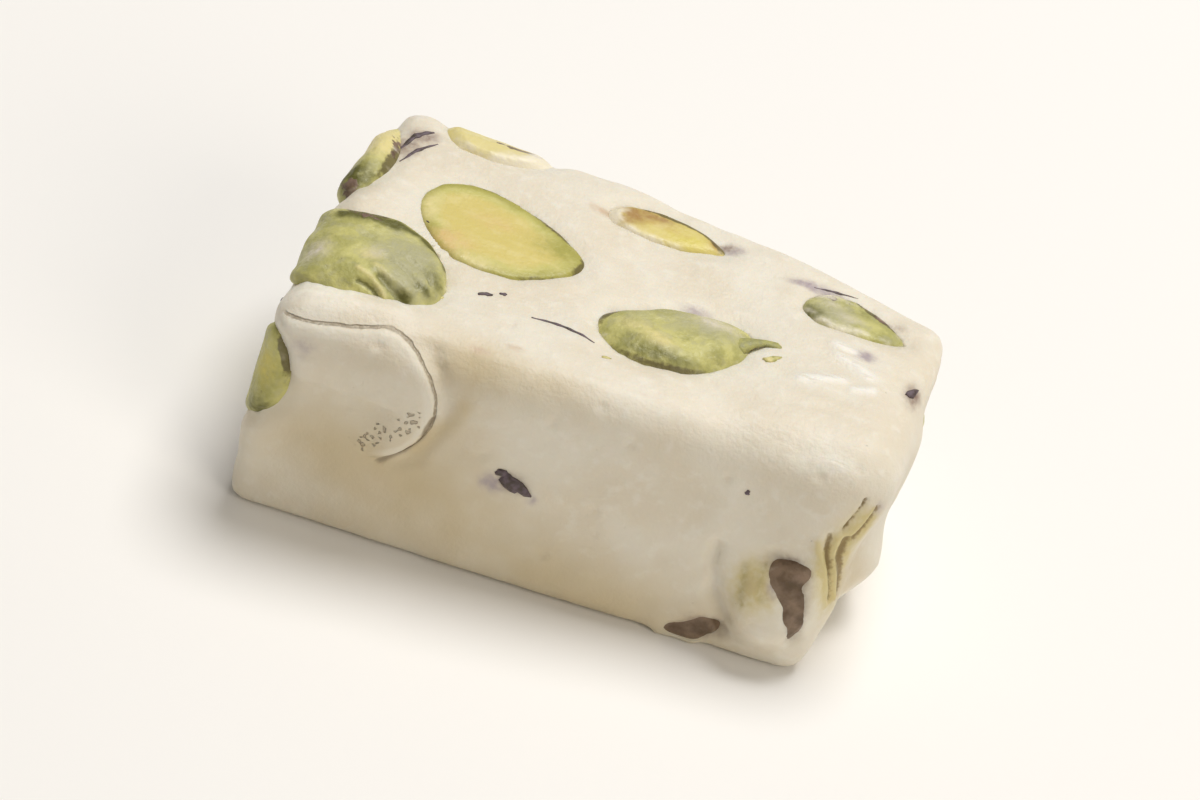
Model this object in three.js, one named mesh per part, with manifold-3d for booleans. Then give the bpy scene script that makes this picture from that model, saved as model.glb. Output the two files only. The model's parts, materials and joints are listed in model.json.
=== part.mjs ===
// A bar of pistachio nougat, cut by hand from a slab. Sizes are in millimetres.
// +X runs along the bar, +Y points to its back and +Z up. The origin is under the middle of the bar,
// on the surface that it lies on. The nougat has a snug pocket for each piece of pistachio that
// shows, and each piece is cut off where the bar's own surface was cut.
import * as THREE from "three";
import { ImprovedNoise } from "three/addons/math/ImprovedNoise.js";
import { mergeVertices } from "three/addons/utils/BufferGeometryUtils.js";
import Module from "manifold-3d";

const wasm = await Module();
wasm.setup();

// The block as it was cut, before its edges are rounded
const LENGTH = 50;
const WIDTH = 28;
const HEIGHT = 20;
const GRID_STEP = 1.7;

// Plan positions [x, y] of the block's corners: front left, front right, back left, back right
const FOOT_CORNERS = [[-24.8, -13.9], [22.8, -13.4], [-22.8, 15.0], [25.6, 9.4]];
const TOP_CORNERS = [[-24.8, -13.8], [26.6, -10.2], [-20.9, 16.8], [26.6, 10.2]];

// How far the middle of the back bows out beyond the line between its corners
const BACK_BOW = 1.7;

// Edges: crisp round the foot and the back, softer along the front of the top and softest at its right
const FOOT_EDGE_RADIUS = 1.2;
const BACK_EDGE_RADIUS = 1.8;
const FRONT_EDGE_RADIUS = 2.6;
const SLUMPED_EDGE_RADIUS = 5.2;

// Slow waves of a soft, hand-cut surface: [height, wavelength]
const WAVES = [[0.5, 15], [0.26, 7]];

// Places where the surface swells or sinks: where it is, how far it reaches, and its rise
const SWELLS = [
  { at: [-18, -11, 20], reach: 5, rise: 0.9 }, // lip folded over a pistachio's edge
  { at: [0, -14, 8], reach: 12, rise: 0.5 }, // belly of the front face
  { at: [9, 3, 20], reach: 9, rise: -0.3 }, // hollow of the cut top
  { at: [-20, -14, 4], reach: 5, rise: -0.5 }, // tuck under the flap
  { at: [13.4, -13.5, 2], reach: 3, rise: -0.9 }, // notch beside the torn corner
  { at: [19.5, -13.5, 4], reach: 4, rise: 0.5 }, // lobe of the torn corner
  { at: [25, -7, 10], reach: 4, rise: -1 }, // torn end above its flake
  { at: [25, -3.5, 5], reach: 3, rise: 1.7 }, // flake left on the torn end
  { at: [23.5, -8, 1], reach: 3.6, rise: -1.6 }, // hollow under the flake
  { at: [2, 14, 6], reach: 8, rise: -0.5 }, // hollow back
  { at: [-24, 3, 10], reach: 7, rise: 0.4 }, // bulge of the left end
  { at: [-25.5, -13.5, 8], reach: 3, rise: 0.5 }, // bulge under the left corner's pistachio
];

// A smeared flap on the front face: a round tongue, in [x, z], that stands a little proud
const FLAP_CENTRE = [-15.8, 14];
const FLAP_RADIUS = 5.8;
const FLAP_RISE = 0.5;
const FLAP_EDGE = 1.4;

// Clearance between a pistachio and its pocket
const GAP = 0.3;

// How far a pistachio may stand out of the nougat, and how much more a whole one may dome out
const STAND = 0.06;
const DOME = 0.84;

// A plain pistachio kernel: how much it narrows to its tip, how far its ends bend aside, and how far
// its sides are slid along it, as a share of its half width
const PLAIN_FORM = { taper: 0.26, bend: 0, lean: 0 };

// A kernel's seam and wrinkles, on a unit ball
const SEAM_DEPTH = 0.05;
const SEAM_WIDTH = 0.25;
const WRINKLE_DEPTH = 0.05;
const WRINKLE_PITCH = 2.6;
const KERNEL_DETAIL = 2;

// The ways that the faces look
const TOP = [0, 0, 1];
const UNDER = [0, 0, -1];
const BACK = [0, 1, 0];
const LEFT = [-1, 0, 0];
const RIGHT = [1, 0, 0];

// Looks of the nougat and of the pistachios: colour, roughness, and how deep a pistachio's middle lies
// under the surface, as a share of its thickness
const LOOKS = {
  nougat: { color: 0xe6dfd0, roughness: 0.45 },
  halved: { color: 0xcfc85e, roughness: 0.5, sunk: 0.11 },
  green: { color: 0x8b9a3f, roughness: 0.5, sunk: 0.21 },
  amber: { color: 0xd0a040, roughness: 0.5, sunk: 0.32 },
  skin: { color: 0x6b4b44, roughness: 0.65, sunk: 0.21 },
};

// Pistachios, each with: at, a point near it on the bar; out, the way it faces; turn, in degrees about
// out; size, its length, width and thickness; its look; and its form where that isn't plain. The knife
// missed the whole ones, which dome out a little
const WHOLE = {
  top_lipped: {
    at: [-19.8, -4.4, 20], out: TOP, turn: 12, size: [14.4, 11.2, 5.4], look: "green",
    form: { taper: -0.15, bend: 0.5, lean: -0.32 },
  },
  top_green: {
    at: [6, -2, 20], out: TOP, turn: 19, size: [13.8, 7.8, 5], look: "green",
    form: { taper: 0.09, bend: 1.2, lean: 0.11 },
  },
  edge_left: { at: [-21.7, 9.4, 19], out: [-0.6, 0.1, 1], turn: 82, size: [11.4, 4, 4.8], look: "green" },
  corner_torn: { at: [20.2, -13, 6.6], out: [0.35, -1, 0], turn: 84, size: [9.2, 5.8, 6], look: "skin" },
  back_green: { at: [-15.6, 14, 7.4], out: BACK, turn: 18, size: [13, 8.2, 5.2], look: "green" },
};

// The knife cut the sliced ones flush with the surface
const SLICED = {
  top_halved: {
    at: [-9.8, 3.7, 20], out: TOP, turn: -3, size: [14, 9.7, 7.2], look: "halved",
    form: { taper: 0.28, bend: 0.4, lean: -0.23 },
  },
  top_sliver: {
    at: [3.2, 11.3, 20], out: TOP, turn: 1, size: [12.9, 3.6, 5.2], look: "amber",
    form: { taper: 0.5, bend: -0.7, lean: -0.5 },
  },
  top_end: {
    at: [18.9, 7.4, 20], out: TOP, turn: -4, size: [9, 4.3, 4.8], look: "green",
    form: { taper: 0.25, bend: -0.8, lean: -0.3 },
  },
  edge_back: { at: [-12.4, 16.4, 20], out: [0, 0.8, 1], turn: -4, size: [10.6, 4.8, 4.8], look: "amber" },
  corner_left: {
    at: [-24.2, -12.2, 12.8], out: [-1, -0.45, 0], turn: 18, size: [9.6, 4.2, 5], look: "green",
    form: { taper: 0.08, bend: 0, lean: 0 },
  },
  front_foot: { at: [13, -12.6, 1.4], out: [0, -1, -0.5], turn: 4, size: [5.6, 3.6, 4.4], look: "skin" },
  back_halved: { at: [10.5, 12, 11], out: BACK, turn: -24, size: [14.6, 9.4, 8], look: "halved" },
  back_brown: { at: [-3.6, 14, 8.4], out: BACK, turn: 74, size: [13.6, 9.4, 5.6], look: "skin" },
  left_round: { at: [-23, 3.4, 7.4], out: LEFT, turn: 40, size: [12.2, 10, 7.2], look: "halved" },
  right_green: { at: [25, 2.4, 12.4], out: RIGHT, turn: 58, size: [12.6, 8, 5.6], look: "green" },
  under_halved: { at: [-12, 3.6, 0], out: UNDER, turn: 34, size: [15, 9.6, 8], look: "halved" },
  under_green: { at: [4.6, -4.4, 0], out: UNDER, turn: -18, size: [13.8, 8.6, 6], look: "green" },
};

const HALF = new THREE.Vector3(LENGTH / 2, WIDTH / 2, HEIGHT / 2);
const noise = new ImprovedNoise();
const { lerp, smoothstep, degToRad } = THREE.MathUtils;

// The radius that the edges have near a point of the block, from its places -1 to 1 on each axis
function edgeRadius({ x: along, y: across, z: up }) {
  const front = lerp(FRONT_EDGE_RADIUS, SLUMPED_EDGE_RADIUS, smoothstep(along, 0, 1));
  const upper = lerp(front, BACK_EDGE_RADIUS, smoothstep(across, -0.6, 0.6));
  return lerp(FOOT_EDGE_RADIUS, upper, smoothstep(up, -0.9, 0));
}

// Moves a point of the plain block to where the skewed block has it
function skew(p) {
  const [u, v, w] = [p.x / HALF.x, p.y / HALF.y, p.z / HALF.z].map((t) => (t + 1) / 2);
  const mix = (corners, axis) => {
    const front = lerp(corners[0][axis], corners[1][axis], u);
    const back = lerp(corners[2][axis], corners[3][axis], u);
    return lerp(front, back, v);
  };
  const x = lerp(mix(FOOT_CORNERS, 0), mix(TOP_CORNERS, 0), w);
  const y = lerp(mix(FOOT_CORNERS, 1), mix(TOP_CORNERS, 1), w) + BACK_BOW * v * 4 * u * (1 - u);
  return new THREE.Vector3(x, y, w * HEIGHT);
}

// How far the flap stands out at a point of the front face: most at its round right edge
function flapRise(p) {
  const [x, z] = [p.x - FLAP_CENTRE[0], p.z - FLAP_CENTRE[1]];
  const inside = 1 - smoothstep(Math.hypot(x, z), FLAP_RADIUS - FLAP_EDGE, FLAP_RADIUS + FLAP_EDGE);
  return FLAP_RISE * inside * smoothstep(x, -FLAP_RADIUS, FLAP_RADIUS);
}

// How far the surface at a point of the block stands out of it
function relief(p, normal) {
  let rise = flapRise(p) * smoothstep(-normal.y, 0.6, 0.95);
  for (const [height, pitch] of WAVES) {
    rise += height * noise.noise(p.x / pitch, p.y / pitch, p.z / pitch);
  }
  for (const swell of SWELLS) {
    const away = p.distanceTo(new THREE.Vector3(...swell.at)) / swell.reach;
    rise += swell.rise * Math.exp(-away * away);
  }
  return rise;
}

// The bar's outer form with no pockets, standing out by proud all round but under its flat foot
function barGeometry(proud) {
  const steps = [LENGTH, WIDTH, HEIGHT].map((size) => Math.round(size / GRID_STEP));
  const geometry = new THREE.BoxGeometry(LENGTH, WIDTH, HEIGHT, ...steps);
  const position = geometry.getAttribute("position");
  const point = new THREE.Vector3();
  for (let i = 0; i < position.count; i++) {
    point.fromBufferAttribute(position, i);
    const radius = edgeRadius(point.clone().divide(HALF));
    const reach = HALF.clone().subScalar(radius);
    const core = point.clone().clamp(reach.clone().negate(), reach);
    const normal = point.clone().sub(core).normalize();
    const rise = (relief(skew(point), normal) + proud) * smoothstep(normal.z, -0.9, -0.3);
    const placed = skew(core.addScaledVector(normal, radius + rise));
    position.setXYZ(i, ...placed);
  }
  return geometry;
}

// A pistachio kernel, long along X, with its tip at +X, grown by gap for its pocket
function kernelGeometry({ size: [length, width, thickness], form = PLAIN_FORM }, gap) {
  const geometry = new THREE.IcosahedronGeometry(1, KERNEL_DETAIL);
  const position = geometry.getAttribute("position");
  const pitch = WRINKLE_PITCH;
  for (let i = 0; i < position.count; i++) {
    const [x, y, z] = new THREE.Vector3().fromBufferAttribute(position, i);
    const narrow = 1 - form.taper * (x + (x * x) / 2);
    const seam = 1 - SEAM_DEPTH * Math.exp(-((y / SEAM_WIDTH) ** 2)) * Math.abs(z);
    const wrinkle = 1 + WRINKLE_DEPTH * noise.noise(x * pitch, y * pitch * 2 + length, z * pitch * 2);
    position.setXYZ(
      i,
      x * (length / 2 + gap) + form.lean * y * (width / 2 + gap),
      y * narrow * wrinkle * (width / 2 + gap) + form.bend * x * x,
      z * narrow * seam * wrinkle * (thickness / 2 + gap),
    );
  }
  return geometry;
}

// A geometry's closed surface as a solid that can be joined and cut
function toSolid(geometry) {
  const bare = geometry.clone();
  bare.deleteAttribute("normal");
  bare.deleteAttribute("uv");
  const merged = mergeVertices(bare);
  const vertProperties = merged.getAttribute("position").array;
  const triVerts = new Uint32Array(merged.index.array);
  return new wasm.Manifold(new wasm.Mesh({ numProp: 3, vertProperties, triVerts }));
}

function toMesh(name, solid, look) {
  const { vertProperties, triVerts } = solid.getMesh();
  const geometry = new THREE.BufferGeometry();
  geometry.setAttribute("position", new THREE.BufferAttribute(vertProperties, 3));
  geometry.setIndex(new THREE.BufferAttribute(triVerts, 1));
  geometry.computeVertexNormals();
  const { color, roughness } = LOOKS[look];
  const mesh = new THREE.Mesh(geometry, new THREE.MeshStandardMaterial({ color, roughness, metalness: 0 }));
  mesh.name = name;
  return mesh;
}

// Where a pistachio sits: its middle lies under the point where a line from outside meets the bar
function placement({ at, out, turn, size, look }, bar) {
  const facing = new THREE.Vector3(...out).normalize();
  const outside = new THREE.Vector3(...at).addScaledVector(facing, LENGTH);
  const [hit] = new THREE.Raycaster(outside, facing.clone().negate()).intersectObject(bar);
  const place = new THREE.Object3D();
  place.position.copy(hit.point).addScaledVector(facing, -LOOKS[look].sunk * size[2]);
  place.quaternion.setFromUnitVectors(new THREE.Vector3(0, 0, 1), facing);
  place.rotateZ(degToRad(turn));
  place.updateMatrix();
  return place;
}

// The bar with all its pistachios, each one trimmed where it would stand out too far
function build() {
  const bar = new THREE.Mesh(barGeometry(0));
  const pieces = new THREE.Group();
  let nougat = toSolid(bar.geometry);
  for (const [kinds, dome] of [[WHOLE, DOME], [SLICED, 0]]) {
    for (const [name, pistachio] of Object.entries(kinds)) {
      const place = placement(pistachio, bar);
      const limit = barGeometry(STAND).applyMatrix4(place.matrix.clone().invert()).translate(0, 0, dome);
      const kernel = toSolid(kernelGeometry(pistachio, 0)).intersect(toSolid(limit));
      const pocket = kernelGeometry(pistachio, GAP).applyMatrix4(place.matrix);
      nougat = nougat.subtract(toSolid(pocket));
      const mesh = toMesh("pistachio_" + name, kernel, pistachio.look);
      mesh.position.copy(place.position);
      mesh.quaternion.copy(place.quaternion);
      pieces.add(mesh);
    }
  }
  pieces.add(toMesh("nougat", nougat, "nougat"));
  return pieces;
}

// Sets the pieces down with the origin under the middle of the whole bar
function centred(pieces) {
  const box = new THREE.Box3().setFromObject(pieces, true);
  const middle = box.getCenter(new THREE.Vector3());
  pieces.position.set(-middle.x, -middle.y, -box.min.z);
  return new THREE.Group().add(pieces);
}

export default centred(build());
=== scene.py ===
import json

import bmesh
import bpy
import numpy as np
from mathutils import Matrix, Vector
from mathutils.bvhtree import BVHTree


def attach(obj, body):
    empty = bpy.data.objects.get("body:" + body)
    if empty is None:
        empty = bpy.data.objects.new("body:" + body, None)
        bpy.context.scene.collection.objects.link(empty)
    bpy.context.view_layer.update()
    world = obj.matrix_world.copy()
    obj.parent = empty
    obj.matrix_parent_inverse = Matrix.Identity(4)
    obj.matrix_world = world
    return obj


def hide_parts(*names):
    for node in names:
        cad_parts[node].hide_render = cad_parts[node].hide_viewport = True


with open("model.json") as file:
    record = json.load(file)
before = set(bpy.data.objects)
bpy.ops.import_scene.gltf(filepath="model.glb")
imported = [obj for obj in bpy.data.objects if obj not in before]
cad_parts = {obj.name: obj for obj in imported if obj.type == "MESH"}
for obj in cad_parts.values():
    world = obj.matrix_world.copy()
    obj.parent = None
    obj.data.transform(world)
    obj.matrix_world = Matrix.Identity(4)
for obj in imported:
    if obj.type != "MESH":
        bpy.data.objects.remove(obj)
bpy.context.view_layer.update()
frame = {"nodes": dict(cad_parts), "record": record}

MM = 0.001

# Mesh fineness
NOUGAT_VOXEL = 0.3
KERNEL_VOXEL = 0.2
MERGE_WITHIN = 1e-4

# How many times points are drawn towards their neighbours, and the share of the way that each time goes
EVEN_SHARE = 0.5
NOUGAT_ROUNDS = 3
OPEN_NOUGAT_ROUNDS = 26
CLOSING_ROUNDS = 4
CUT_KERNEL_ROUNDS = 4
WHOLE_KERNEL_ROUNDS = 9

# Where shaping sets in and is full: heights above the floor, and distances past a pocket's wall, at which
# a share of the nougat's is left. Bubbles lie where it is nearly full
NOUGAT_FLOOR = (0.05, 0.6)
KERNEL_FLOOR = (0.02, 0.4)
PAST_POCKET = (0.05, 0.8)
POCKET_SHARE = 0.25
BUBBLE_SHARE = 0.9

# Where the surface begins to count as top or front and fully does, by its normal
TOP_FACING = (0.6, 0.95)
FRONT_FACING = (0.3, 0.6)

# The most that fields of distance hold: to a kernel, and to the flap's edge
NEAR_REACH = 3
FLAP_REACH = 3

# How far inside its rim a kernel's face begins
FACE_INSET = 0.5

# The gap that the solids leave round each pistachio, and how the nougat and the kernel close it
POCKET_GAP = 0.3
PRESS = 0.08
PULL_REACH = 1.3
KERNEL_SWELL = 0.2
LIP_CREEP = 0.18
LIP_SLOPE = 0.4
LIP_PITCH = 2.4
LIP_PATCHES = (0.1, 0.9)

# Uneven relief: its height and how far apart its lumps are, a length or one for each axis
LUMPS = (0.12, 4.2)
DIMPLES = (0.05, 1.7)
TOP_STREAKS = (0.05, (6.0, 0.9, 3.0))
TORN_LUMPS = (0.15, (1.2, 1.2, 2.6))
CUT_KERNEL_LUMPS = (0.05, 1.8)
WHOLE_KERNEL_LUMPS = (0.14, 2.2)

# What daubs and lines do to the nougat: heights and depths
SMEAR_HEIGHT = 0.16
MOST_SMEAR = 1.3
RIDGE_HEIGHT = 0.25
FURROW_DEPTH = 0.38
FOLD_DEPTH = 0.35
CREASE_DEPTH = 0.75
OPENING_UNEVENNESS = 0.45
OPENING_PITCH = 1.3

# The hollows that air bubbles left
BUBBLES = 90
BUBBLE_RADIUS = 0.5
BUBBLE_SIZES = (0.5, 1.3)
BUBBLE_DEPTH = 0.12
BUBBLE_EDGE = (0.2, 1.0)

# The kernels' wrinkles: how they bend, how far apart they are, and how wide and deep their valleys are
WRINKLE_BEND = 0.5
WRINKLE_BEND_PITCH = 4.0
COARSE_WRINKLES = (8.0, 1.0, 1.4)
FINE_WRINKLES = (3.0, 0.6, 0.7)
FINE_WRINKLE_SHARE = 0.4
VALLEY_EDGE = 0.35
VALLEY_SHARE = 0.4
GROOVE_SHARE = 1.6
CUT_KERNEL_VALLEY = 0.02
WHOLE_KERNEL_VALLEY = 0.18
RIB_HEIGHT = 0.15

# The smeared flap on the front face: in X and Z, the middle of its round end, the radius there, how its
# top line falls to the left, its step, the trough outside it, and the stretches over which these set in
FLAP_X = -16.5
FLAP_Z = 14.5
FLAP_RADIUS = 5.6
FLAP_SLOPE = 0.17
FLAP_STEP = 0.3
FLAP_EDGE = 0.3
FLAP_TROUGH = 0.36
FLAP_TROUGH_OUT = 0.9
FLAP_TROUGH_WIDTH = 0.7
FLAP_TROUGH_START = (-14, -12)
FLAP_LEFT_START = (-8.6, -7.0)
FLAP_FOOT_START = (1.2, 3.4)

# The torn right end
TORN_MIDDLE = (22.1, -12.3, 10.2)
TORN_REACH = (2.0, 2.6, 4.6)
TORN_EDGE = (0.6, 1.0)

# Lines on the surface: of what, their width and their points. They waver by a length, at a pitch
LINE_STEP = 0.15
NEAR_LINE_SQUARED = 1.5
NOUGAT_WAVER = 0.2
KERNEL_WAVER = 0.1
WAVER_PITCH = 1.6
LINES = (
    # The fold under the flap's round end, and the air bubbles beside it
    ("fold", 0.26, ((-10.8, -15.0, 14.4), (-11.2, -15.2, 12.3), (-12.5, -15.4, 10.4), (-14.2, -15.3, 9.0))),
    ("pits", 1.2, ((-15.8, -15.4, 10.4), (-13.9, -15.4, 12.4), (-12.1, -15.2, 14.2))),
    # Painted shade: tan laid in the trough outside the flap's round end
    ("tan_shade", 0.9, ((-8.8, -14.7, 16.0), (-9.8, -14.9, 13.5), (-11.6, -15.1, 11.2))),
    # The crease left of the torn corner's lobe, and the olive streaks on it
    ("crease", 0.6, ((13.1, -14.0, 9.8), (13.2, -14.2, 7.8), (13.8, -14.3, 5.6), (15.0, -14.4, 3.6))),
    ("olive", 0.42, ((15.4, -14.0, 9.0), (15.8, -14.6, 7.4), (16.4, -15.0, 6.0))),
    ("olive", 0.46, ((16.8, -13.8, 9.4), (17.1, -14.3, 8.4), (17.6, -14.9, 7.0))),
    # The torn end's ridges and furrows
    ("ridge", 0.34, ((20.4, -12.8, 12.6), (21.2, -12.6, 9.8), (22.0, -13.2, 6.8))),
    ("ridge", 0.3, ((21.8, -12.4, 13.0), (22.0, -12.4, 10.6), (22.7, -12.3, 7.2))),
    ("ridge", 0.3, ((22.6, -11.9, 13.4), (23.4, -11.3, 14.8), (23.7, -11.0, 15.8))),
    ("furrow", 0.28, ((21.1, -12.7, 13.2), (21.6, -12.5, 10.4), (22.4, -12.7, 7.2))),
    ("furrow", 0.48, ((22.5, -12.0, 12.7), (22.4, -12.1, 10.9), (22.8, -11.9, 9.0), (23.2, -11.6, 6.9))),
    ("furrow", 0.42, ((23.0, -11.5, 12.8), (23.7, -11.1, 14.3), (24.1, -10.7, 15.6))),
    ("furrow", 0.16, ((21.9, -12.1, 13.8), (22.5, -11.7, 15.4), (22.8, -11.3, 16.8))),
    # The ribs of the pistachio at the left, and the furrows between them
    ("deep", 0.7, ((-22.8, -2.0, 20.8), (-21.2, -2.0, 21.1), (-19.6, -1.9, 21.1), (-18.4, -1.8, 21.0))),
    ("deep", 0.45, ((-18.4, -1.7, 21.0), (-16.4, -2.0, 20.8), (-14.8, -3.1, 20.4), (-14.0, -4.5, 20.2))),
    ("rib", 0.3, ((-18.9, -7.9, 21.4), (-17.7, -8.5, 21.3), (-16.6, -8.7, 21.1), (-15.8, -9.0, 20.8))),
    ("rib", 0.3, ((-19.9, -8.6, 21.2), (-18.6, -9.1, 21.2), (-17.7, -9.7, 21.0), (-17.2, -10.2, 20.8))),
    ("groove", 0.3, ((-18.2, -8.8, 21.3), (-17.5, -9.1, 21.2), (-16.6, -9.5, 20.9), (-15.8, -9.8, 20.5))),
    ("groove", 0.24, ((-18.3, -6.4, 21.4), (-17.2, -6.8, 21.4), (-16.4, -7.2, 21.3), (-15.4, -8.2, 21.0))),
    # Painted shade: this furrow along the kernel's lower edge is darkened where shade falls there
    ("groove", 0.22, ((-19.6, -9.6, 20.9), (-18.4, -9.9, 20.9), (-17.8, -10.3, 20.7))),
    ("groove", 0.18, ((-16.6, -5.6, 21.4), (-15.2, -6.3, 21.1), (-14.4, -7.4, 20.8))),
    # Smears near the narrow end: raised, glossier ridges, painted white as a highlight
    ("smear", 0.6, ((15.2, -3.4, 20.0), (16.8, -2.8, 20.1), (18.4, -2.2, 20.1))),
    ("smear", 0.55, ((17.6, 0.6, 20.1), (18.9, 0.1, 20.1), (20.2, -0.6, 20.1))),
    ("smear", 0.4, ((19.4, -2.9, 20.1), (20.8, -2.4, 20.1))),
    ("smear", 0.4, ((16.9, 1.9, 20.1), (18.6, 1.4, 20.1))),
)

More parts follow.
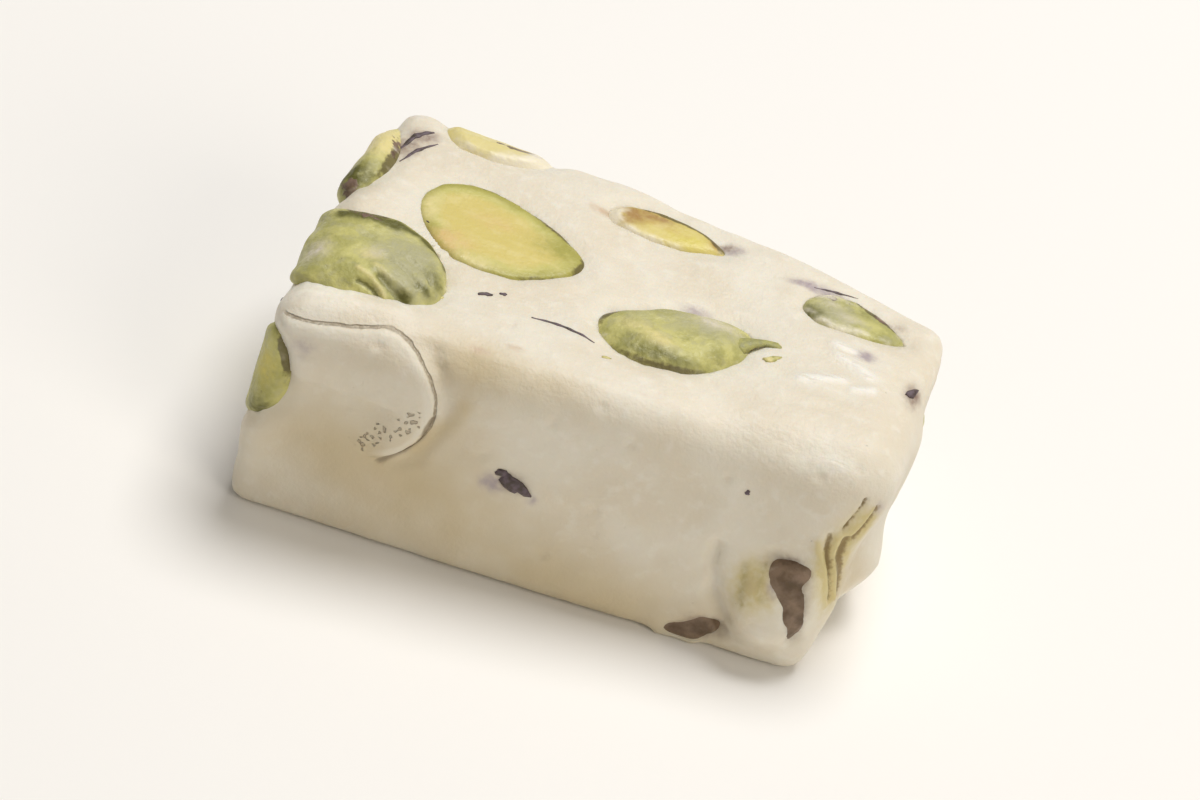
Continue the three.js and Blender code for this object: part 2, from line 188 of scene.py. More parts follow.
# Daubs on the surface: of what, the place, its reach (a length or one for each axis) and its strength.
# Most are shares of a tint. Of a kernel, dark and film are in millimetres from its rim. open is how far
# the nougat over a covered kernel sinks, in millimetres
DAUBS = (
    # The halved pistachio
    ("warm", (-14.4, -0.4, 20.1), (2.2, 1.6, 3.0), 0.8),
    ("warm", (-11.5, 3.6, 20.1), (2.6, 1.3, 3.0), 0.5),
    ("pale", (-16.6, 3.0, 20.1), (1.0, 2.4, 3.0), 0.9),
    ("pale", (-12.0, -1.9, 20.1), (2.6, 0.9, 3.0), 0.8),
    ("green", (-5.4, 3.0, 20.0), (3.0, 1.8, 3.0), 0.9),
    ("dark", (-6.3, 5.2, 20.0), (3.4, 1.6, 3.0), 0.42),
    ("dark", (-3.6, 1.4, 20.0), 1.3, 0.4),
    ("dark", (-6.4, -1.6, 20.0), (3.0, 1.0, 3.0), 0.25),
    ("dark", (-13.0, 7.4, 20.0), (3.5, 1.2, 3.0), 0.25),
    # The pistachio at the left, with a thick dark edge along its upper side
    ("dark", (-20.6, -1.6, 21.0), (2.6, 1.2, 3.0), 1.8),
    ("skin", (-20.6, -1.9, 21.2), (1.8, 0.5, 2.0), 0.8),
    ("sage", (-16.8, -5.2, 21.3), (3.2, 2.6, 3.0), 1.1),
    ("sage", (-15.8, -8.4, 21.0), (2.2, 1.6, 3.0), 0.9),
    ("green", (-22.2, -5.6, 21.0), (1.8, 3.4, 3.0), 0.45),
    ("pale", (-19.2, -6.6, 21.4), (1.2, 0.8, 2.0), 1.1),
    ("deep", (-14.7, -5.9, 20.9), (0.8, 1.4, 2.0), 0.4),
    ("deep", (-13.8, -6.8, 20.5), 0.8, 0.8),
    ("deep", (-15.8, -9.6, 20.6), (0.8, 0.5, 1.5), 1.2),
    ("deep", (-14.6, -8.3, 20.7), (1.0, 0.5, 1.5), 0.8),
    ("cream", (-23.6, -7.0, 20.4), (1.5, 1.5, 1.5), 0.8),
    ("cream", (-19.1, -6.2, 21.4), (0.9, 1.1, 2.0), 0.45),
    # The whole pistachio in the middle of the top, with a beak
    ("cream", (7.6, -0.4, 20.1), (2.6, 1.1, 2.0), 0.7),
    ("sage", (7.0, -1.4, 20.3), (3.4, 1.6, 3.0), 1.0),
    ("sage", (1.4, -2.6, 20.3), (1.6, 1.6, 3.0), 0.5),
    ("pale", (1.6, -3.8, 20.5), (1.8, 1.1, 3.0), 0.6),
    ("pale", (4.0, -5.0, 20.6), (1.5, 0.9, 3.0), 0.9),
    ("dark", (4.6, -6.6, 20.0), (4.2, 1.2, 3.0), 0.4),
    ("dark", (-0.4, -2.4, 20.0), (1.1, 1.6, 3.0), 0.6),
    ("dark", (2.2, -0.4, 20.0), (3.0, 0.8, 3.0), 0.6),
    ("deep", (4.2, -6.2, 20.0), (4.4, 0.9, 2.0), 0.7),
    ("deep", (8.4, -4.4, 20.0), (1.6, 0.8, 2.0), 0.4),
    ("deep", (1.8, -5.0, 20.2), (2.0, 0.5, 2.0), 0.4),
    # The sliver by the back edge
    ("film", (-3.4, 9.4, 19.9), (2.0, 1.6, 1.0), 1.9),
    ("film", (0.6, 7.9, 19.8), (5.0, 0.7, 2.0), 1.0),
    ("brown", (-1.6, 9.8, 19.9), (1.4, 1.3, 1.0), 1.0),
    ("brown", (0.6, 10.6, 19.9), (1.8, 0.6, 1.0), 0.8),
    ("brown", (5.6, 10.0, 19.8), (0.8, 0.8, 1.0), 0.9),
    ("yellow", (3.4, 9.2, 19.9), (2.2, 1.0, 1.0), 0.9),
    ("dark", (1.8, 11.4, 19.8), (3.6, 0.9, 3.0), 0.75),
    ("dark", (5.8, 10.4, 19.8), (1.2, 0.8, 3.0), 0.6),
    ("peach", (-3.4, 9.4, 20.0), (1.8, 0.6, 2.0), 1.0),
    ("skin", (6.6, 10.3, 19.8), (0.7, 0.4, 2.0), 0.9),
    ("lilac", (7.2, 10.0, 19.9), (1.0, 0.7, 2.0), 0.7),
    # The pistachio at the narrow end, smeared over
    ("film", (17.4, 4.4, 20.0), (1.4, 0.8, 2.0), 1.1),
    ("film", (15.6, 7.4, 20.0), (2.2, 0.8, 2.0), 1.3),
    ("sage", (16.0, 5.4, 20.0), (2.4, 2.2, 2.0), 1.0),
    ("deep", (14.4, 4.9, 20.0), (1.2, 1.1, 2.0), 0.9),
    ("deep", (18.6, 6.6, 20.0), (1.8, 0.7, 2.0), 0.5),
    ("deep", (20.8, 4.6, 20.0), (1.6, 0.5, 2.0), 0.4),
    ("cream", (17.6, 5.5, 20.0), (1.5, 0.6, 2.0), 0.55),
    ("cream", (15.6, 6.6, 20.0), (1.6, 0.5, 2.0), 0.5),
    ("skin", (15.4, 7.4, 20.0), (1.8, 0.5, 2.0), 0.6),
    ("skin", (20.4, 7.0, 19.9), (2.0, 0.5, 2.0), 0.6),
    ("dark", (19.8, 7.2, 19.8), (2.8, 1.3, 3.0), 0.8),
    ("lilac", (15.2, 8.4, 20.0), (2.6, 0.5, 2.0), 0.8),
    ("lilac", (13.0, 8.1, 20.0), (1.4, 0.35, 2.0), 0.8),
    # The pistachio in the left corner
    ("green", (-24.3, -14.5, 13.6), 3.2, 0.5),
    ("yellow", (-24.6, -14.4, 14.0), (1.6, 1.6, 2.4), 0.7),
    ("deep", (-24.3, -14.9, 9.8), 1.6, 0.9),
    ("dark", (-23.0, -14.6, 16.4), (0.9, 1.2, 2.0), 0.7),
    # The pistachio on the left edge, with loose skin beside it
    ("pale", (-22.4, 9.6, 20.2), 2.8, 1.5),
    ("deep", (-23.2, 4.2, 19.8), (1.8, 1.8, 2.0), 1.1),
    ("dark", (-23.6, 6.4, 19.2), (0.8, 3.0, 1.5), 0.6),
    ("dark", (-21.2, 7.2, 20.4), (1.0, 2.4, 2.0), 0.5),
    ("skin", (-23.4, 3.2, 19.4), 0.9, 1.0),
    ("skin", (-20.2, 9.8, 20.6), (1.5, 1.8, 3.0), 0.75),
    ("skin", (-18.9, 11.8, 20.6), (1.4, 0.8, 3.0), 0.7),
    ("skin", (-20.8, 7.6, 20.6), (0.6, 1.4, 3.0), 0.4),
    # The pistachio on the back edge
    ("film", (-9.4, 13.4, 19.8), (3.0, 2.4, 2.0), 2.4),
    ("film", (-13.0, 12.0, 19.4), (4.6, 0.9, 2.0), 1.1),
    ("green", (-14.6, 13.6, 19.8), (3.0, 2.0, 2.0), 0.5),
    ("pale", (-14.4, 13.2, 19.6), (4.0, 2.4, 3.0), 1.4),
    ("skin", (-11.6, 13.7, 19.9), (2.2, 0.35, 2.0), 1.2),
    # The torn corner: the film over the pistachio is open where its skin shows
    ("open", (18.5, -13.6, 9.8), (1.6, 1.6, 0.8), 1.5),
    ("open", (19.2, -14.3, 8.4), (1.2, 1.2, 1.2), 1.4),
    ("open", (20.2, -14.8, 6.4), (0.8, 1.0, 1.2), 1.2),
    ("open", (20.8, -14.7, 4.7), (0.5, 1.0, 1.2), 1.0),
    ("film", (20.6, -14.8, 6.0), (0.7, 1.2, 1.4), 1.1),
    ("skin", (19.1, -13.8, 9.5), (1.7, 1.8, 1.4), 0.8),
    ("skin", (20.4, -14.7, 6.0), (0.9, 1.0, 2.4), 0.7),
    ("lilac", (18.2, -14.4, 8.2), (0.9, 1.0, 1.5), 0.9),
    ("straw", (16.8, -14.5, 7.6), (2.2, 1.6, 2.8), 1.2),
    ("peach", (16.4, -14.5, 7.8), (1.4, 1.4, 2.0), 0.3),
    ("straw", (22.0, -12.5, 9.6), (1.8, 1.8, 4.0), 1.5),
    ("straw", (23.4, -11.2, 14.2), (1.3, 1.2, 1.9), 1.2),
    ("lilac", (24.1, -10.7, 15.6), (0.6, 0.8, 0.7), 0.9),
    # Painted shade: a short dark mark at the top of the crease left of the lobe, laid on with the skin tint
    ("skin", (13.3, -14.1, 8.6), (0.25, 0.6, 1.0), 0.8),
    # The pistachios at the foot and in the end, smeared over but for a part
    ("open", (12.2, -14.3, 1.0), (1.2, 1.2, 0.65), 1.2),
    ("open", (13.4, -14.3, 1.7), (1.0, 1.2, 0.6), 0.9),
    ("open", (14.6, -14.3, 2.3), (1.1, 1.2, 0.65), 1.2),
    ("skin", (13.6, -14.4, 2.1), (2.0, 1.2, 1.1), 0.8),
    ("open", (25.2, 2.6, 13.5), (1.5, 2.8, 2.6), 1.9),
    # Stains on the nougat, with painted shade and painted highlights among them, as marked below
    # Painted shade: darker and warmer towards the front's lower left and bottom, along the top's front
    # edge, and low on the right end
    ("tan_shade", (-14.0, -15.2, 8.5), (12.0, 4.0, 7.5), 0.85),
    ("tan_shade", (4.0, -15.0, 1.5), (15.0, 4.0, 5.0), 0.75),
    ("tan_shade", (-7.0, -13.0, 19.2), (7.0, 2.4, 2.5), 0.75),
    ("tan_shade", (24.0, -9.6, 6.5), (2.4, 3.0, 5.0), 0.8),
    # Painted shade: warmer and darker low on the front's left, below the flap
    ("peach", (-13.9, -15.1, 6.2), 2.6, 0.25),
    ("peach", (-9.0, -12.3, 20.2), (1.1, 0.4, 1.5), 0.8),
    ("peach", (-6.4, -11.0, 20.3), (0.9, 0.4, 1.5), 0.8),
    ("peach", (5.4, -11.2, 19.8), (3.4, 0.4, 0.8), 0.35),
    ("lilac", (-21.9, -15.0, 17.4), 1.2, 0.55),
    ("lilac", (-5.2, -14.9, 9.9), (1.1, 1.0, 1.0), 0.9),
    ("lilac", (-1.8, -14.9, 9.4), (0.6, 1.0, 0.6), 0.6),
    ("skin", (-3.6, -14.9, 10.5), (1.3, 1.0, 1.0), 0.8),
    ("lilac", (-15.6, 2.6, 20.0), 1.5, 0.2),
    ("lilac", (5.8, 1.5, 19.6), (1.5, 0.5, 1.0), 0.9),
    ("lilac", (19.5, 1.5, 20.0), (0.9, 0.7, 1.0), 1.1),
    ("skin", (24.0, -0.6, 19.5), (1.0, 1.4, 1.5), 0.8),
    # Painted highlights: lighter on the rounded edges at the narrow end and over the lip below the left
    # pistachio; the smear after them is a raised ridge that is also painted white as a highlight
    ("painted_highlight", (18.8, -11.0, 18.7), (5.0, 1.6, 1.6), 0.7),
    ("painted_highlight", (-21.5, -11.6, 20.2), (4.5, 1.8, 1.6), 0.7),
    ("smear", (20.3, -10.8, 18.6), (1.4, 0.6, 0.8), 0.4),
)

# How strongly a line tints the nougat or a kernel, and a rib a kernel's paleness
NOUGAT_LINE_TINT = 0.5
KERNEL_LINE_TINT = 1.2
RIB_PALENESS = 0.7

# Kernels that nougat is smeared over, and how thickly it lies there
COVERED = ("pistachio_corner_torn", "pistachio_front_foot", "pistachio_right_green")
COVER_THICKNESS = 0.45

# Where a kernel still has its brown or purple skin: the side that it is on, and where along it it starts,
# as a share of the kernel's reach that way
SKIN_EASE = 0.5
SKIN_SIDES = {
    "back_green": ((0.0, 0.0, 1.0), 0.8),
    "right_green": ((0.0, 1.0, 0.3), 0.8),
    "left_round": ((0.0, -1.0, 0.2), 0.9),
    "back_brown": ((0.3, 0.0, 1.0), -0.2),
    "front_foot": ((1.0, 0.0, -0.4), -0.9),
    "corner_torn": ((0.35, -1.0, 0.0), -0.7),
}

# How wide a kernel's dark outline is, and how far a film of nougat is smeared in from its rim
USUAL_DARK = -0.2
USUAL_FILM = -0.7
FILM = {"top_end": -0.4}

nodes = frame["nodes"]
kernels = sorted(name for name in nodes if name.startswith("pistachio_"))
slots = {part["node"]: part["material_slot"] for part in frame["record"]["subparts"]}


# Numbers on arrays of points

SEED_STEP = 13.37
HASH_WAYS = (127.1, 311.7, 74.7)
HASH_SCALE = 43758.5453


def smoothstep(value, low, high):
    t = np.clip((value - low) / (high - low), 0, 1)
    return t * t * (3 - 2 * t)


def noise(points, pitch, seed):
    """Smooth noise from -1 to 1, with lumps about pitch across, a length or one for each axis."""
    place = points / np.asarray(pitch, float) + seed * SEED_STEP
    cell = np.floor(place)
    part = place - cell
    part = part ** 3 * (part * (part * 6 - 15) + 10)
    total = np.zeros(len(points))
    for corner in np.ndindex(2, 2, 2):
        weight = np.prod(np.where(corner, part, 1 - part), axis=1)
        mixed = np.sin((cell + corner) @ HASH_WAYS) * HASH_SCALE
        total += weight * (2 * (mixed - np.floor(mixed)) - 1)
    return total


def noise_relief(points, kind, seed, share=1.0):
    """Noise of a kind, given by its height and pitch, and how much of it shows at each point."""
    height, pitch = kind
    return share * height * noise(points, pitch, seed)


def daubed(co, field_name):
    """A field's strength at each point, from the daubs."""
    total = np.zeros(len(co))
    for name, place, reach, strength in DAUBS:
        if name == field_name:
            away = np.linalg.norm((co - place) / reach, axis=1)
            total += strength * np.exp(-away * away)
    return total


def laid_on(co, normals, line):
    """Points close together along a line, each laid on the surface that it is near."""
    spots = []
    for start, end in zip(line, line[1:]):
        count = int(np.linalg.norm(np.subtract(end, start)) / LINE_STEP) + 2
        spots += list(np.linspace(start, end, count))
    laid = []
    for spot in spots:
        away = ((co - spot) ** 2).sum(axis=1)
        k = np.argmin(away)
        if away[k] < NEAR_LINE_SQUARED:
            laid.append(spot + normals[k] * ((co[k] - spot) @ normals[k]))
    return laid


def lined(co, normals, field_name, waver=NOUGAT_WAVER):
    """Nearly 1 on a field's lines, which waver, and nought away from them."""
    wavered = co + waver * np.stack([noise(co, WAVER_PITCH, 21 + k) for k in range(3)], axis=1)
    total = np.zeros(len(co))
    for name, width, line in LINES:
        if name == field_name:
            for spot in laid_on(co, normals, line):
                away = ((wavered - spot) ** 2).sum(axis=1) / width ** 2
                total = np.maximum(total, np.exp(-away))
    return total


# Meshes

def swollen(name, swell):
    """A copy of a solid's mesh, in millimetres, grown outwards but not through the floor."""
    source = nodes[name].data.copy()
    source.transform(Matrix.Scale(1 / MM, 4))
    solid = bmesh.new()
    solid.from_mesh(source)
    bmesh.ops.remove_doubles(solid, verts=solid.verts, dist=MERGE_WITHIN)
    solid.normal_update()
    for vert in solid.verts:
        vert.co += vert.normal * swell
        vert.co.z = max(vert.co.z, 0.0)
    solid.to_mesh(source)
    solid.free()
    return source


def even_mesh(names, voxel, swell=0.0):
    """One mesh of small even faces round some solids, in millimetres; all but the first are swollen."""
    joined = bmesh.new()
    for number, name in enumerate(names):
        part = swollen(name, swell if number else 0.0)
        joined.from_mesh(part)
        bpy.data.meshes.remove(part)
    source = bpy.data.meshes.new("joined")
    joined.to_mesh(source)
    joined.free()
    holder = bpy.data.objects.new("even", source)
    bpy.context.scene.collection.objects.link(holder)
    remesh = holder.modifiers.new("even", "REMESH")
    remesh.mode = "VOXEL"
    remesh.voxel_size = voxel
    graph = bpy.context.evaluated_depsgraph_get()
    mesh = bpy.data.meshes.new_from_object(holder.evaluated_get(graph))
    bpy.data.objects.remove(holder)
    bpy.data.meshes.remove(source)
    mesh.materials.clear()
    return mesh


def points_of(mesh):
    co = np.empty(len(mesh.vertices) * 3)
    mesh.vertices.foreach_get("co", co)
    return co.reshape(-1, 3)


def normals_of(mesh):
    normals = np.empty(len(mesh.vertices) * 3)
    mesh.vertex_normals.foreach_get("vector", normals)
    return normals.reshape(-1, 3)


def set_points(mesh, co):
    mesh.vertices.foreach_set("co", co.ravel())
    mesh.update()


def set_field(mesh, name, values):
    field = mesh.attributes.new(name, "FLOAT", "POINT")
    field.data.foreach_set("value", values.astype(np.float32))


def evened(mesh, vectors, rounds, share):
    """A vector for each point, drawn towards the mean of its neighbours', several times over."""
    edges = np.empty(len(mesh.edges) * 2, np.int64)
    mesh.edges.foreach_get("vertices", edges)
    first, second = edges.reshape(-1, 2).T
    size = len(vectors)
    count = np.bincount(edges, minlength=size)
    vectors = vectors.copy()
    for _ in range(rounds):
        for axis in range(3):
            value = vectors[:, axis]
            total = np.bincount(first, value[second], size) + np.bincount(second, value[first], size)
            vectors[:, axis] = value + share * (total / count - value)
    return vectors


def smooth(mesh, rounds, share):
    """Draws points towards the middle of their neighbours, each by its share, several times over."""
    set_points(mesh, evened(mesh, points_of(mesh), rounds, share))


class Surface:
    """The surfaces of some meshes, in millimetres, for finding what is nearest to a point."""

    def __init__(self, meshes):
        verts = []
        faces = []
        self.owner = []
        for number, mesh in enumerate(meshes):
            start = len(verts)
            verts += [v.co / MM for v in mesh.vertices]
            faces += [[start + i for i in face.vertices] for face in mesh.polygons]
            self.owner += [number] * len(mesh.polygons)
        self.tree = BVHTree.FromPolygons(verts, faces)

    def nearest(self, co):
        """The nearest points, how far away they are, and the number of the mesh that each is on."""
        found = [self.tree.find_nearest(Vector(point)) for point in co]
        owner = [self.owner[hit[2]] for hit in found]
        return np.array([hit[0] for hit in found]), np.array([hit[3] for hit in found]), np.array(owner)


def finish_piece(mesh, name, material, node=None):
    """Turns a mesh in millimetres into a piece of the model."""
    mesh.transform(Matrix.Scale(MM, 4))
    mesh.materials.append(material)
    mesh.shade_smooth()
    piece = bpy.data.objects.new(name, mesh)
    bpy.context.scene.collection.objects.link(piece)
    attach(piece, "root")
    if node:
        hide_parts(node)
    return piece


# Shader nodes

class Shades:
    """A material's node tree, with short calls for the nodes that these materials use."""

    def __init__(self, name):
        self.material = bpy.data.materials.new(name)
        self.material.use_nodes = True
        self.tree = self.material.node_tree
        self.shader = self.tree.nodes["Principled BSDF"]
        coordinates = self.tree.nodes.new("ShaderNodeTexCoord")
        self.place = self.stretched(coordinates.outputs["Object"], (1 / MM,) * 3)

    def put(self, socket, value):
        if isinstance(value, bpy.types.NodeSocket):
            self.tree.links.new(value, socket)
        else:
            socket.default_value = (*value, 1) if isinstance(value, tuple) and len(value) == 3 else value

    def stretched(self, vector, scale):
        mapping = self.tree.nodes.new("ShaderNodeMapping")
        self.tree.links.new(vector, mapping.inputs["Vector"])
        mapping.inputs["Scale"].default_value = scale
        return mapping.outputs["Vector"]

    def noise(self, scale, detail, stretch=None):
        texture = self.tree.nodes.new("ShaderNodeTexNoise")
        vector = self.stretched(self.place, stretch) if stretch else self.place
        self.tree.links.new(vector, texture.inputs["Vector"])
        texture.inputs["Scale"].default_value = scale
        texture.inputs["Detail"].default_value = detail
        return texture.outputs["Fac"]

    def field(self, name):
        attribute = self.tree.nodes.new("ShaderNodeAttribute")
        attribute.attribute_name = name
        return attribute.outputs["Fac"]

    def math(self, operation, a, b=0.0):
        node = self.tree.nodes.new("ShaderNodeMath")
        node.operation = operation
        self.put(node.inputs[0], a)
        self.put(node.inputs[1], b)
        return node.outputs[0]

    def spread(self, value, width):
        """Noise moved from about 0.5 to about nought, and scaled to a width."""
        return self.math("MULTIPLY", self.math("SUBTRACT", value, 0.5), width)

    def between(self, value, low, high, start=0.0, end=1.0):
        """value as it goes from low to high, eased, mapped to start and end."""
        node = self.tree.nodes.new("ShaderNodeMapRange")
        node.interpolation_type = "SMOOTHSTEP"
        self.put(node.inputs["Value"], value)
        node.inputs["From Min"].default_value = low
        node.inputs["From Max"].default_value = high
        node.inputs["To Min"].default_value = start
        node.inputs["To Max"].default_value = end
        return node.outputs["Result"]

    def line(self, distance, middle, half_width):
        """Nearly 1 where distance is about middle, within a half width."""
        away = self.math("ABSOLUTE", self.math("SUBTRACT", distance, middle))
        return self.between(away, half_width * 0.3, half_width, 1.0, 0.0)

    def mix(self, share, a, b):
        node = self.tree.nodes.new("ShaderNodeMix")
        node.data_type = "RGBA"
        self.put(node.inputs[0], share)
        self.put(node.inputs[6], a)
        self.put(node.inputs[7], b)
        return node.outputs[2]

    def tinted(self, colour, tints, uneven, unevenness):
        """A colour under tints, each as strong as its field and as uneven as some noise."""
        share = self.math("ADD", self.spread(uneven, unevenness), 0.9)
        for name, tint in tints.items():
            strength = self.between(self.math("MULTIPLY", self.field(name), share), 0.05, 1.0)
            colour = self.mix(strength, colour, tint)
        return colour

    def bump(self, height, distance_mm, normal=None):
        node = self.tree.nodes.new("ShaderNodeBump")
        node.inputs["Distance"].default_value = distance_mm * MM
        self.tree.links.new(height, node.inputs["Height"])
        if normal:
            self.tree.links.new(normal, node.inputs["Normal"])
        return node.outputs["Normal"]

    def finish(self, colour, roughness, normal, subsurface, radius, scale_mm):
        self.put(self.shader.inputs["Base Color"], colour)
        self.put(self.shader.inputs["Roughness"], roughness)
        self.put(self.shader.inputs["Normal"], normal)
        self.shader.inputs["Subsurface Weight"].default_value = subsurface
        self.shader.inputs["Subsurface Radius"].default_value = radius
        self.shader.inputs["Subsurface Scale"].default_value = scale_mm * MM
        self.shader.inputs["IOR"].default_value = 1.45
        return self.material


# Materials. Colours are linear

CREAM = (0.82, 0.765, 0.645)
WARM_CREAM = (0.78, 0.705, 0.565)
PALE_CREAM = (0.87, 0.83, 0.73)
FILM_CREAM = (0.90, 0.83, 0.68)
# Painted highlight colour for rounded edges
HIGHLIGHT_WHITE = (0.96, 0.91, 0.79)
# The smears' painted highlight
SMEAR_HIGHLIGHT = (0.95, 0.94, 0.90)
# Painted shade, warm and darker, for the front and the top's front edge
SHADE_TAN = (0.64, 0.53, 0.33)
PEACH = (0.62, 0.47, 0.33)
LILAC = (0.44, 0.37, 0.38)
OLIVE = (0.36, 0.30, 0.11)
# Painted shade in the flap's crease and fold and in the bubble pits
HOLLOW_SHADE_BROWN = (0.34, 0.27, 0.18)
STRAW = (0.70, 0.60, 0.31)
FURROW_BROWN = (0.27, 0.18, 0.06)

PALE_YELLOW = (0.78, 0.68, 0.31)
MID_YELLOW = (0.70, 0.585, 0.19)
WARM_YELLOW = (0.74, 0.52, 0.22)
BRIGHT_YELLOW = (0.72, 0.62, 0.14)
AMBER = (0.58, 0.40, 0.12)
SKIN_OCHRE = (0.42, 0.25, 0.08)
YELLOW_GREEN = (0.60, 0.56, 0.18)
RIM_GREEN = (0.42, 0.39, 0.09)
SAGE = (0.46, 0.44, 0.25)
LIGHT_GREEN = (0.60, 0.565, 0.21)
MID_GREEN = (0.44, 0.42, 0.14)
BEAK_GREEN = (0.33, 0.32, 0.13)
DEEP_GREEN = (0.13, 0.125, 0.025)
EDGE_DARK = (0.12, 0.095, 0.035)
SKIN_BROWN = (0.10, 0.057, 0.032)
SKIN_PURPLE = (0.26, 0.168, 0.13)
FLAKE_DARK = (0.075, 0.055, 0.045)
FLAKE_PURPLE = (0.15, 0.11, 0.13)

NOUGAT_TINTS = {
    # A painted highlight on rounded edges
    "painted_highlight": HIGHLIGHT_WHITE,
    "straw": STRAW,
    "peach": PEACH,
    "lilac": LILAC,
    "olive": OLIVE,
    "skin": SKIN_PURPLE,
}
KERNEL_TINTS = {
    "green": RIM_GREEN,
    "pale": PALE_YELLOW,
    "warm": WARM_YELLOW,
    "yellow": BRIGHT_YELLOW,
    "brown": SKIN_OCHRE,
    "sage": SAGE,
    "cream": WARM_CREAM,
    "deep": DEEP_GREEN,
}


def nougat_material():
    s = Shades("nougat")
    patches = s.noise(0.16, detail=2.0)
    mottle = s.noise(0.9, detail=4.0)
    fine = s.noise(3.2, detail=4.0)
    streaks = s.noise(1.0, detail=4.0, stretch=(0.35, 2.4, 1.2))

    colour = s.mix(s.between(patches, 0.35, 0.65), CREAM, WARM_CREAM)
    colour = s.mix(s.between(mottle, 0.5, 0.75, 0.0, 0.5), colour, PALE_CREAM)
    # Painted shade: the tan fields darken and warm the nougat where shade falls
    colour = s.tinted(colour, {"tan_shade": SHADE_TAN}, patches, unevenness=0.8)
    # Further tints by daubs and lines; the white one is a painted highlight
    colour = s.tinted(colour, NOUGAT_TINTS, s.noise(1.5, detail=3.0), unevenness=1.4)

    smear = s.math("MULTIPLY", s.field("smear"), s.between(streaks, 0.3, 0.5))
    # Painted highlight: the smears, also raised and glossier, are lightened towards white
    colour = s.mix(s.math("MULTIPLY", smear, 0.6), colour, SMEAR_HIGHLIGHT)

    wander = s.spread(s.noise(1.1, detail=3.0), width=0.25)
    flap = s.math("ADD", s.field("flap"), wander)
    crease = s.math("MULTIPLY", s.line(flap, middle=0.12, half_width=0.14), s.field("flap_shown"))
    ridge = s.math("MULTIPLY", s.line(flap, middle=-0.45, half_width=0.5), s.field("flap_shown"))
    # Painted highlight: paler just inside the flap's edge, along its raised rim
    colour = s.mix(s.math("MULTIPLY", ridge, 0.45), colour, PALE_CREAM)
    # Painted shade: the flap's crease line and the fold below it are darkened brown
    colour = s.mix(s.math("MULTIPLY", crease, s.between(fine, 0.3, 0.6, 0.4, 0.85)), colour, HOLLOW_SHADE_BROWN)
    colour = s.mix(s.between(s.field("fold"), 0.1, 0.8, 0.0, 0.85), colour, HOLLOW_SHADE_BROWN)

    colour = s.mix(s.between(s.field("ridge"), 0.1, 0.8, 0.0, 0.85), colour, STRAW)
    furrow = s.math("ADD", s.field("furrow"), s.spread(fine, width=0.8))
    colour = s.mix(s.between(furrow, 0.3, 0.85, 0.0, 0.85), colour, FURROW_BROWN)

    holes = s.math("ADD", s.noise(2.9, detail=0.0), s.between(s.field("pits"), 0.2, 0.9, -0.3, 0.0))
    holes = s.between(holes, 0.6, 0.72)
    # Painted shade: the bubble pits are darkened brown as well as sunk
    colour = s.mix(s.math("MULTIPLY", holes, 0.6), colour, HOLLOW_SHADE_BROWN)

    # Painted shade: darker towards olive right at the seam round each pocket
    seam_shade = s.math("ADD", s.field("near"), s.spread(s.noise(2.0, detail=2.0), width=0.3))
    colour = s.mix(s.between(seam_shade, -0.05, 0.15, 0.4, 0.0), colour, OLIVE)

    relief = s.math("SUBTRACT", s.math("MULTIPLY", mottle, 0.5), s.math("MULTIPLY", crease, 1.0))
    relief = s.math("SUBTRACT", relief, s.math("MULTIPLY", holes, 1.6))
    relief = s.math("ADD", relief, s.math("MULTIPLY", smear, 0.4))
    normal = s.bump(relief, distance_mm=0.16)
    normal = s.bump(fine, distance_mm=0.05, normal=normal)
    normal = s.bump(s.noise(13.0, detail=3.0), distance_mm=0.012, normal=normal)
    roughness = s.math("SUBTRACT", s.between(mottle, 0.3, 0.7, 0.42, 0.58), s.math("MULTIPLY", smear, 0.08))
    return s.finish(colour, roughness, normal, subsurface=0.25, radius=(1.0, 0.75, 0.5), scale_mm=1.3)


def kernel_finish(s, colour, roughness, height, height_mm):
    """What all pistachio has: tints, a dark outline, skin that clings, a film of nougat, and fine grain."""
    rim = s.field("rim")
    fine = s.noise(2.4, detail=3.0)
    colour = s.tinted(colour, KERNEL_TINTS, s.noise(1.3, detail=3.0), unevenness=1.4)
    outline = s.math("SUBTRACT", s.field("dark"), s.math("ADD", rim, s.spread(fine, width=0.4)))
    colour = s.mix(s.between(outline, -0.12, 0.1, 0.0, 0.85), colour, EDGE_DARK)

    skin = s.math("ADD", s.field("skin"), s.spread(s.noise(1.3, detail=4.0), width=2.0))
    skin = s.between(skin, 0.5, 0.7, 0.0, 0.92)
    skin_colour = s.mix(s.between(s.noise(0.6, detail=4.0), 0.3, 0.7), SKIN_BROWN, SKIN_PURPLE)
    colour = s.mix(skin, colour, skin_colour)

    ragged = s.spread(s.noise(0.8, detail=2.0, stretch=(0.8, 1.3, 0.7)), width=2.6)
    film = s.math("SUBTRACT", s.field("film"), s.math("ADD", rim, ragged))
    film = s.between(film, -0.6, 0.8, 0.0, 0.85)
    colour = s.mix(film, colour, FILM_CREAM)

    relief = s.math("ADD", s.math("MULTIPLY", skin, 0.5), film)
    normal = s.bump(relief, distance_mm=0.07)
    normal = s.bump(height, height_mm, normal)
    return s.finish(colour, roughness, normal, subsurface=0.12, radius=(0.9, 0.8, 0.3), scale_mm=0.8)


